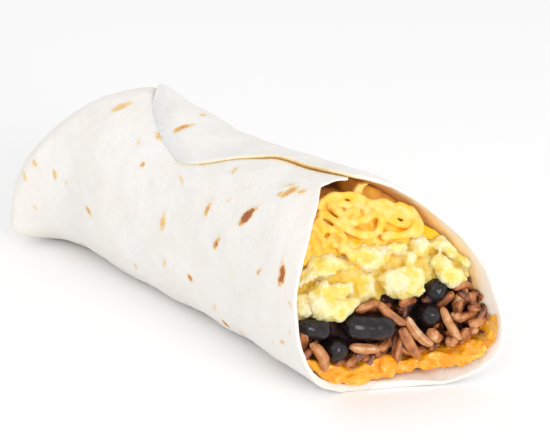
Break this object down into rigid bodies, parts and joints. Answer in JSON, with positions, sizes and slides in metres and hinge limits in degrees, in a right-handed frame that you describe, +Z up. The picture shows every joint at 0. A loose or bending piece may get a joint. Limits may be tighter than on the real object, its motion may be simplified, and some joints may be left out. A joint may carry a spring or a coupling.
{
  "type": "burrito",
  "caption": "Burrito lying on its side: a flour tortilla rolled round rice, black beans, scrambled egg, shredded cheese and cheese sauce, open at one end",
  "frame": {"origin": "middle of the footprint, on the surface the burrito lies on", "axes": "+Z up, +X along the roll from the folded end to the open end, -Y the side on which the wrap shows unbroken"},
  "size_m": [0.1604, 0.0564, 0.0553],
  "materials": {
    "tortilla": "matte flour tortilla with toasted spots",
    "cheese_sauce": "glossy thick sauce",
    "rice": "satin cooked rice grains",
    "bean": "satin bean skin",
    "egg": "soft moist curds",
    "cheese": "soft satin strips"
  },
  "bodies": {
    "root": {"tortilla": "tortilla", "cheese_sauce": "cheese_sauce", "rice": "rice", "black_bean_1": "bean", "black_bean_2": "bean", "black_bean_3": "bean", "black_bean_4": "bean", "black_bean_5": "bean", "scrambled_egg": "egg", "shredded_cheese": "cheese"}
  },
  "joints": []
}
